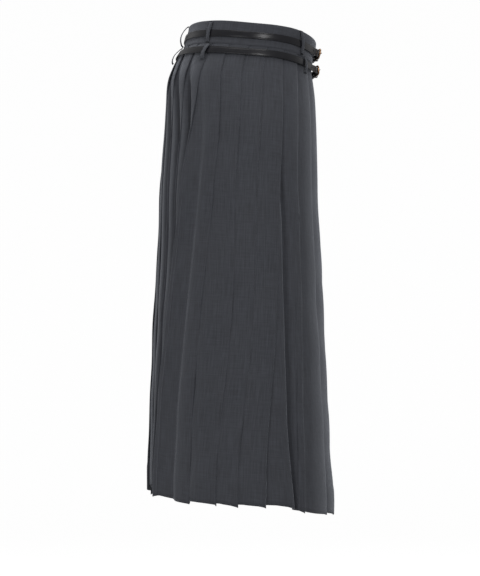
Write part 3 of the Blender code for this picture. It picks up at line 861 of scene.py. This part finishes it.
def punch_holes(piece, below, rest):
    """Cuts the row of prong holes through the layer of strap that passes over the buckle."""
    ring = Ring(below)
    lefts, outs = zip(*COMING_MM, *CROSSING_MM, *LYING_MM)
    pins = []
    for left in HOLES_MM:
        out = np.interp(left, lefts, outs) * MM
        ends = (rest + out - HOLE_REACH, rest + out + HOLE_REACH)
        line = [front_point(ring, left * MM, below, end) for end in ends]
        pins.append(round_sections(line, HOLE_RADIUS, sides=20))
    cutter = tubes("hole_cutter", pins)
    cut = piece.modifiers.new("holes", "BOOLEAN")
    cut.operation = "DIFFERENCE"
    cut.solver = "EXACT"
    cut.object = cutter
    bpy.context.view_layer.update()
    graph = bpy.context.evaluated_depsgraph_get()
    punched = bpy.data.meshes.new_from_object(piece.evaluated_get(graph))
    piece.modifiers.clear()
    piece.data = punched
    bpy.data.objects.remove(cutter)


def build_belt(which, below, rest):
    piece = tube(f"belt_{which}_strap", strap_sections(below, rest), leather)
    punch_holes(piece, below, rest)
    dress(piece, f"belt_{which}")
    build_keeper(which, below, rest)
    build_buckle(which, below, rest)


def loop_sections(angles, levels, ends_out, middle_out):
    """The sections of a belt loop: a folded strip of cloth that passes over the belt."""
    half, thick = LOOP_WIDTH / 2, LOOP_WALL / 2
    side, face, back = half - LOOP_ROUND, half - LOOP_FACE, half - LOOP_BACK
    section = [(half, 0.0), (side, 0.75), (face, 1.0), (0.0, 1.0), (-face, 1.0), (-side, 0.75)]
    section += [(-half, 0.0), (-back, -1.0), (0.0, -1.0), (back, -1.0)]
    t = np.linspace(0, 1, LOOP_SECTIONS)
    below = levels[0] + (levels[1] - levels[0]) * t
    out = ends_out + (middle_out - ends_out) * np.sin(math.pi * t) ** LOOP_RISE
    ahead = unit(np.stack([np.gradient(below), np.gradient(out)], axis=-1))
    sections = []
    for k in range(LOOP_SECTIONS):
        ring = Ring(below[k])
        centre = ring.distance(math.radians(angles[0] + (angles[1] - angles[0]) * t[k]))
        corners = []
        for side, push in section:
            level = below[k] - ahead[k, 1] * thick * push
            away = out[k] + ahead[k, 0] * thick * push
            corners.append(place(ring.angle(centre + side), level, away))
        sections.append(corners)
    return np.array(sections)


def on_loop(sections, across, along):
    """A point just off a loop's outer face: across it from 0 to 1, and along it by section."""
    row = min(int(along), len(sections) - 2)
    here = sections[row] + (sections[row + 1] - sections[row]) * (along - row)
    left, middle, right, inner_middle = here[[2, 3, 4, 8]]
    return left + (right - left) * across + unit(middle - inner_middle) * THREAD * 0.5


def loop_threads(sections):
    """The threads on one loop: a bar tack at each end and a row of stitches along each edge."""
    last = len(sections) - 1
    lines = []
    for end, inward in ((0, 1), (last, -1)):
        tack = []
        for number in range(TACK_TURNS + 1):
            across = TACK_FROM + TACK_WIDTH * number / TACK_TURNS
            tack.append(on_loop(sections, across, end + inward * (TACK_AT + number % 2)))
        lines.append(tack)
    for across in STITCH_LINES:
        for start in np.arange(2.0, last - 2.5, STITCH_STEP):
            lines.append([on_loop(sections, across, start + step) for step in STITCH])
    return [round_sections(line, THREAD, sides=6) for line in lines]


def build_loops():
    upper_ends = BAND_OUT + BAND_WALL / 2 + LOOP_GAP + LOOP_WALL / 2
    lower_ends = DRESSED + LOOP_GAP + LOOP_WALL / 2
    upper_levels = (LOOP_INSET, BAND_HEIGHT - LOOP_INSET)
    lower_levels = (BAND_HEIGHT + LOOP_INSET, BAND_HEIGHT + LOOP_DROP)
    upper, lower, threads = [], [], []
    for row in CARRIERS:
        high = loop_sections((row.top, row.seam), upper_levels, upper_ends, row.upper * MM)
        low = loop_sections((row.low, row.low), lower_levels, lower_ends, row.lower * MM)
        upper.append(dressed_tube(f"loop_upper_{row.name}", "cloth", high, wool_loop))
        lower.append(dressed_tube(f"loop_lower_{row.name}", "cloth", low, wool_loop))
        threads += loop_threads(high) + loop_threads(low)
    stitches = tubes("loop_stitches", threads, thread)
    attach(stitches, "root")
    return upper, lower


class Paint:
    """Short ways to add nodes to a material."""

    def __init__(self, name):
        self.material = bpy.data.materials.new(name)
        self.material.use_nodes = True
        self.tree = self.material.node_tree
        self.shader = self.tree.nodes["Principled BSDF"]

    def node(self, kind, **values):
        made = self.tree.nodes.new(kind)
        for key, value in values.items():
            if key in made.inputs:
                self.put(value, made.inputs[key])
            else:
                setattr(made, key, value)
        return made

    def put(self, value, socket):
        if isinstance(value, bpy.types.NodeSocket):
            self.tree.links.new(value, socket)
        else:
            socket.default_value = value

    def look(self, values):
        for name, value in values.items():
            self.put(value, self.shader.inputs[name])

    def at(self):
        """The place on the piece, in metres."""
        return self.node("ShaderNodeTexCoord").outputs["Object"]

    def bump(self, height, strength, distance):
        made = self.node("ShaderNodeBump", Strength=strength, Distance=distance, Height=height)
        self.look({"Normal": made.outputs["Normal"]})

    def math(self, operation, *values):
        made = self.node("ShaderNodeMath", operation=operation)
        for value, socket in zip(values, made.inputs):
            self.put(value, socket)
        return made.outputs[0]

    def scaled(self, vector, scale):
        made = self.node("ShaderNodeVectorMath", operation="MULTIPLY")
        self.put(vector, made.inputs[0])
        made.inputs[1].default_value = scale
        return made.outputs[0]

    def noise(self, vector, scale, detail, roughness):
        values = {"Vector": vector, "Scale": scale, "Detail": detail, "Roughness": roughness}
        return self.node("ShaderNodeTexNoise", **values).outputs["Fac"]

    def mix(self, factor, first, second):
        made = self.node("ShaderNodeMix", data_type="RGBA")
        self.put(factor, made.inputs[0])
        self.put(first, made.inputs[6])
        self.put(second, made.inputs[7])
        return made.outputs[2]


# Colours of the looks, and how fine the patterns of the cloth are
WOOL_DARK, WOOL_LIGHT = (0.0275, 0.0292, 0.0352, 1), (0.0462, 0.0497, 0.0605, 1)
WOOL_WORN, WOOL_SHEEN = (0.046, 0.046, 0.051, 1), (0.75, 0.79, 0.88, 1)
THREAD_COLOUR = (0.03, 0.032, 0.038, 1)
LEATHER_DARK, LEATHER_LIGHT = (0.006, 0.006, 0.008, 1), (0.012, 0.012, 0.015, 1)
BRONZE_DARK, BRONZE_LIGHT = (0.12, 0.065, 0.035, 1), (0.46, 0.27, 0.15, 1)
STREAKS, FIBRES, PATCHES, WEAVE = 560.0, 1500.0, 14.0, 520.0


def wool_paint(name, from_uv):
    """Slate-grey melange suiting: short fine streaks down and across it, and a plain weave."""
    paint = Paint(name)
    if from_uv:
        cloth = paint.node("ShaderNodeUVMap", uv_map="cloth").outputs["UV"]
        down, across, second = (1.0, 0.045, 1.0), (0.06, 1.0, 1.0), "Y"
    else:
        cloth = paint.at()
        down, across, second = (1.0, 1.0, 0.045), (0.06, 0.06, 1.0), "Z"
    warp = paint.noise(paint.scaled(cloth, down), STREAKS, 2.0, 0.6)
    weft = paint.noise(paint.scaled(cloth, across), STREAKS, 2.0, 0.6)
    fine = paint.noise(paint.scaled(cloth, down), FIBRES, 1.0, 0.5)
    patches = paint.math("MULTIPLY", paint.noise(cloth, PATCHES, 2.0, 0.5), 0.25)
    streak = paint.math("MULTIPLY_ADD", warp, 0.62, paint.math("MULTIPLY", weft, 0.38))
    steeper = {"Value": streak, "From Min": 0.36, "From Max": 0.64}
    tone = paint.node("ShaderNodeMapRange", **steeper).outputs["Result"]
    paint.look({
        "Base Color": paint.mix(patches, paint.mix(tone, WOOL_DARK, WOOL_LIGHT), WOOL_WORN),
        "Roughness": 0.82,
        "Specular IOR Level": 0.3,
        "Sheen Weight": 0.35,
        "Sheen Roughness": 0.45,
        "Sheen Tint": WOOL_SHEEN,
    })
    threads = []
    for way in ("X", second):
        values = {"Vector": cloth, "Scale": WEAVE, "Distortion": 1.5, "bands_direction": way}
        threads.append(paint.node("ShaderNodeTexWave", **values).outputs["Fac"])
    height = paint.math("MULTIPLY_ADD", paint.math("ADD", *threads), 0.4, fine)
    paint.bump(height, 0.35, 0.0003)
    return paint.material


def leather_paint():
    """Near-black polished leather with a fine grain."""
    paint = Paint("leather")
    at = paint.at()
    grain = paint.node("ShaderNodeTexVoronoi", Scale=1800.0, Vector=at)
    cloudy = paint.noise(at, 60.0, 3.0, 0.6)
    paint.look({
        "Base Color": paint.mix(cloudy, LEATHER_DARK, LEATHER_LIGHT),
        "Roughness": paint.math("MULTIPLY_ADD", cloudy, 0.12, 0.26),
        "Specular IOR Level": 0.3,
    })
    paint.bump(grain.outputs["Distance"], 0.12, 0.0002)
    return paint.material


def bronze_paint():
    """Aged bronze-coloured metal, darker where it isn't rubbed."""
    paint = Paint("bronze")
    cloudy = paint.noise(paint.at(), 260.0, 4.0, 0.65)
    paint.look({
        "Base Color": paint.mix(cloudy, BRONZE_DARK, BRONZE_LIGHT),
        "Metallic": 1.0,
        "Roughness": paint.math("MULTIPLY_ADD", cloudy, 0.2, 0.18),
    })
    return paint.material


def plain_paint(name, colour, roughness, emission=0.0):
    paint = Paint(name)
    paint.look({
        "Base Color": colour,
        "Roughness": roughness,
        "Specular IOR Level": 0.2,
        "Emission Color": (1, 1, 1, 1),
        "Emission Strength": emission,
    })
    return paint.material


# Camera: at the wearer's right side, a little behind and a little low
CAMERA_TURN = math.radians(8)
CAMERA_AWAY = 3.8
CAMERA_HEIGHT = -0.566
LOOK_HEIGHT = -0.374
LOOK_RIGHT = -0.0192
LENS_MM, SENSOR_MM = 148.4, 36.0


def aim(holder, position, target):
    holder.location = position
    holder.rotation_euler = (Vector(target) - Vector(position)).to_track_quat("-Z", "Y").to_euler()


def build_camera():
    camera = bpy.data.cameras.new("camera")
    camera.lens = LENS_MM
    camera.sensor_width = SENSOR_MM
    holder = add_object("camera", camera)
    away = Vector((-math.cos(CAMERA_TURN), math.sin(CAMERA_TURN), 0.0))
    right = Vector((-math.sin(CAMERA_TURN), -math.cos(CAMERA_TURN), 0.0))
    position = away * CAMERA_AWAY + Vector((0, 0, CAMERA_HEIGHT))
    aim(holder, position, Vector((0, 0, LOOK_HEIGHT)) + right * LOOK_RIGHT)
    bpy.context.scene.camera = holder
    return away, right


def softbox(name, position, target, width, height, power):
    light = bpy.data.lights.new(name, "AREA")
    light.shape = "RECTANGLE"
    light.size = width
    light.size_y = height
    light.energy = power
    aim(add_object(name, light), position, target)


# Each softbox: degrees round from the camera towards the skirt's front, distance, height of its
# middle, width, height, and power in watts
BOXES = table(
    "name turn away middle width tall power",
    ("key", 20, 3.0, 1.0, 0.8, 1.2, 36),
    ("fill", -34, 3.0, -0.4, 1.0, 1.2, 21),
    ("front_rim", 125, 2.6, 0.3, 1.0, 1.6, 1.2),
    ("back_rim", -130, 2.6, 0.1, 1.0, 1.9, 2),
    ("far_side", 180, 3.2, 0.5, 1.4, 1.6, 8),
)
LIT_AT = (0, 0, -0.34)
OVERHEAD_AT, OVERHEAD_SIZE, OVERHEAD_POWER = (0, 0, 2.2), 2.0, 30
WORLD_LIGHT = 0.36


def build_studio(away, right):
    for box in BOXES:
        turned = math.radians(box.turn)
        position = (away * math.cos(turned) + right * math.sin(turned)) * box.away
        position.z = box.middle
        softbox(box.name, position, LIT_AT, box.width, box.tall, box.power)
    softbox("overhead", OVERHEAD_AT, (0, 0, 0), OVERHEAD_SIZE, OVERHEAD_SIZE, OVERHEAD_POWER)
    world = bpy.data.worlds.new("studio")
    bpy.context.scene.world = world
    world.use_nodes = True
    background = world.node_tree.nodes["Background"]
    background.inputs["Color"].default_value = (1, 1, 1, 1)
    background.inputs["Strength"].default_value = WORLD_LIGHT
    bpy.context.scene.view_settings.view_transform = "Standard"


# The floor: its height, the radii of its flat part and its curve, its wall's top, and its paint
FLOOR_AT = -1.05
FLOOR_FLAT = 5.2
FLOOR_CURVE = 2.0
WALL_TOP = 5.0
FLOOR_SIDES = 96
FLOOR_COLOUR = (0.4, 0.4, 0.4, 1)
FLOOR_GLOW = 0.82


def build_floor():
    """A pale round floor that curves up into a pale wall all round."""
    section = [(1.0, 0.0), (2.5, 0.0), (FLOOR_FLAT, 0.0)]
    for turned in np.radians(np.linspace(10, 90, 9)):
        section.append(
            (FLOOR_FLAT + FLOOR_CURVE * math.sin(turned), FLOOR_CURVE * (1 - math.cos(turned)))
        )
    section.append((FLOOR_FLAT + FLOOR_CURVE, WALL_TOP))
    points, faces = [], [tuple(range(FLOOR_SIDES))]
    for radius, height in section:
        for side in range(FLOOR_SIDES):
            turned = side * math.tau / FLOOR_SIDES
            points.append((radius * math.cos(turned), radius * math.sin(turned), FLOOR_AT + height))
    for row in range(len(section) - 1):
        faces += ring_faces(row, row + 1, FLOOR_SIDES)
    pale = plain_paint("pale_floor", FLOOR_COLOUR, 1.0, FLOOR_GLOW)
    floor = mesh_piece("floor", points, faces, pale)
    floor.visible_diffuse = False
    floor.visible_glossy = False
    floor.visible_shadow = False


wool = wool_paint("wool", True)
wool_loop = wool_paint("wool_loops", False)
leather = leather_paint()
bronze = bronze_paint()
thread = plain_paint("thread", THREAD_COLOUR, 0.8)

away, right = build_camera()
build_studio(away, right)
build_floor()

upper_loops, lower_loops = build_loops()
build_band()
wall = skirt_wall()
for number, panel in enumerate(PANELS):
    start = panel.starts * PLEAT_COLUMNS + SEAM_COLUMN
    end = PANELS[(number + 1) % len(PANELS)].starts * PLEAT_COLUMNS + SEAM_COLUMN
    if end < start:
        end += COLUMNS
    build_panel(panel.name, wall, start, end)
build_belt("upper", UPPER_BELT_AT, UPPER_REST)
build_belt("lower", LOWER_BELT_AT, LOWER_REST)
